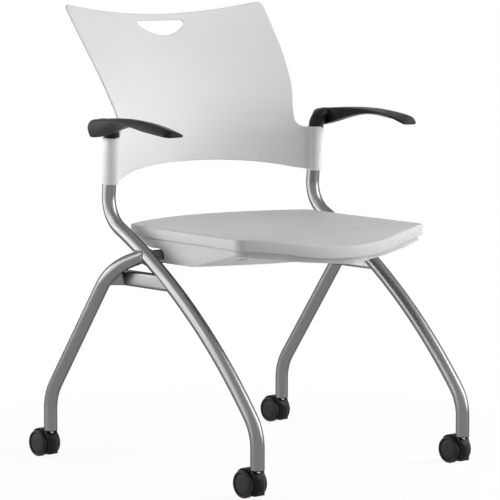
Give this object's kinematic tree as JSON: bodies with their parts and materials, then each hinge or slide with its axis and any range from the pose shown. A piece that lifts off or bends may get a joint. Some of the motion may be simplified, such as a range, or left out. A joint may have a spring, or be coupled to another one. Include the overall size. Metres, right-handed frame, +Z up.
{
  "type": "nesting chair",
  "caption": "Nesting chair with a curved plastic shell back with a hand slot, a flip-up seat, a bent steel tube frame, cantilevered arms and swivelling twin-wheel casters",
  "frame": {"origin": "on the floor, under the middle of the chair's overall width and depth", "axes": "+Z up, -Y the way the sitter faces, +X to the sitter's left"},
  "size_m": [0.621, 0.614, 0.851],
  "materials": {
    "frame_silver": "satin metallic silver",
    "shell_plastic": "fine grained",
    "seat_plastic": "fine grained",
    "arm_plastic": "satin",
    "caster_plastic": "satin",
    "wheel_plastic": "satin",
    "plain_steel": "zinc plated",
    "bushing_plastic": "moulded",
    "bumper_rubber": "matte"
  },
  "bodies": {
    "frame": {"frame_tube_left": "frame_silver", "frame_tube_right": "frame_silver", "rear_leg_left": "frame_silver", "rear_leg_right": "frame_silver", "side_brace_left": "frame_silver", "side_brace_right": "frame_silver", "pivot_cross_tube": "frame_silver", "stop_tab_left": "frame_silver", "stop_tab_right": "frame_silver", "back_shell": "shell_plastic", "arm_left": "arm_plastic", "arm_right": "arm_plastic", "caster_socket_front_left": "caster_plastic", "caster_socket_front_right": "caster_plastic", "caster_socket_rear_left": "caster_plastic", "caster_socket_rear_right": "caster_plastic"},
    "seat": {"seat_top": "seat_plastic", "seat_pan": "shell_plastic", "pivot_clamp_left": "plain_steel", "pivot_clamp_right": "plain_steel", "pivot_bushing_left": "bushing_plastic", "pivot_bushing_right": "bushing_plastic", "stop_bumper_left": "bumper_rubber", "stop_bumper_right": "bumper_rubber", "clamp_screws": "plain_steel", "seat_pan_screws": "plain_steel"},
    "caster_front_left": {"caster_hood_front_left": "caster_plastic", "caster_stem_front_left": "plain_steel", "caster_axle_front_left": "plain_steel"},
    "wheel_outer_front_left": {"caster_wheel_outer_front_left": "wheel_plastic"},
    "wheel_inner_front_left": {"caster_wheel_inner_front_left": "wheel_plastic"},
    "caster_front_right": {"caster_hood_front_right": "caster_plastic", "caster_stem_front_right": "plain_steel", "caster_axle_front_right": "plain_steel"},
    "wheel_outer_front_right": {"caster_wheel_outer_front_right": "wheel_plastic"},
    "wheel_inner_front_right": {"caster_wheel_inner_front_right": "wheel_plastic"},
    "caster_rear_left": {"caster_hood_rear_left": "caster_plastic", "caster_stem_rear_left": "plain_steel", "caster_axle_rear_left": "plain_steel"},
    "wheel_outer_rear_left": {"caster_wheel_outer_rear_left": "wheel_plastic"},
    "wheel_inner_rear_left": {"caster_wheel_inner_rear_left": "wheel_plastic"},
    "caster_rear_right": {"caster_hood_rear_right": "caster_plastic", "caster_stem_rear_right": "plain_steel", "caster_axle_rear_right": "plain_steel"},
    "wheel_outer_rear_right": {"caster_wheel_outer_rear_right": "wheel_plastic"},
    "wheel_inner_rear_right": {"caster_wheel_inner_rear_right": "wheel_plastic"}
  },
  "joints": [
    {"name": "seat_flip", "type": "hinge", "parent": "frame", "child": "seat", "pos_m": [0, 0.0159, 0.3965], "axis": [-1, 0, 0], "range_deg": [0, 85]},
    {"name": "caster_swivel_front_left", "type": "hinge", "parent": "frame", "child": "caster_front_left", "pos_m": [0.252, -0.2943, 0], "axis": [0, 0, 1], "continuous": true},
    {"name": "wheel_roll_outer_front_left", "type": "hinge", "parent": "caster_front_left", "child": "wheel_outer_front_left", "pos_m": [0.252, -0.2743, 0.025], "axis": [1, 0, 0], "continuous": true},
    {"name": "wheel_roll_inner_front_left", "type": "hinge", "parent": "caster_front_left", "child": "wheel_inner_front_left", "pos_m": [0.252, -0.2743, 0.025], "axis": [1, 0, 0], "continuous": true},
    {"name": "caster_swivel_front_right", "type": "hinge", "parent": "frame", "child": "caster_front_right", "pos_m": [-0.252, -0.2943, 0], "axis": [0, 0, 1], "continuous": true},
    {"name": "wheel_roll_outer_front_right", "type": "hinge", "parent": "caster_front_right", "child": "wheel_outer_front_right", "pos_m": [-0.252, -0.2743, 0.025], "axis": [1, 0, 0], "continuous": true},
    {"name": "wheel_roll_inner_front_right", "type": "hinge", "parent": "caster_front_right", "child": "wheel_inner_front_right", "pos_m": [-0.252, -0.2743, 0.025], "axis": [1, 0, 0], "continuous": true},
    {"name": "caster_swivel_rear_left", "type": "hinge", "parent": "frame", "child": "caster_rear_left", "pos_m": [0.29, 0.2594, 0], "axis": [0, 0, 1], "continuous": true},
    {"name": "wheel_roll_outer_rear_left", "type": "hinge", "parent": "caster_rear_left", "child": "wheel_outer_rear_left", "pos_m": [0.29, 0.2794, 0.025], "axis": [1, 0, 0], "continuous": true},
    {"name": "wheel_roll_inner_rear_left", "type": "hinge", "parent": "caster_rear_left", "child": "wheel_inner_rear_left", "pos_m": [0.29, 0.2794, 0.025], "axis": [1, 0, 0], "continuous": true},
    {"name": "caster_swivel_rear_right", "type": "hinge", "parent": "frame", "child": "caster_rear_right", "pos_m": [-0.29, 0.2594, 0], "axis": [0, 0, 1], "continuous": true},
    {"name": "wheel_roll_outer_rear_right", "type": "hinge", "parent": "caster_rear_right", "child": "wheel_outer_rear_right", "pos_m": [-0.29, 0.2794, 0.025], "axis": [1, 0, 0], "continuous": true},
    {"name": "wheel_roll_inner_rear_right", "type": "hinge", "parent": "caster_rear_right", "child": "wheel_inner_rear_right", "pos_m": [-0.29, 0.2794, 0.025], "axis": [1, 0, 0], "continuous": true}
  ]
}
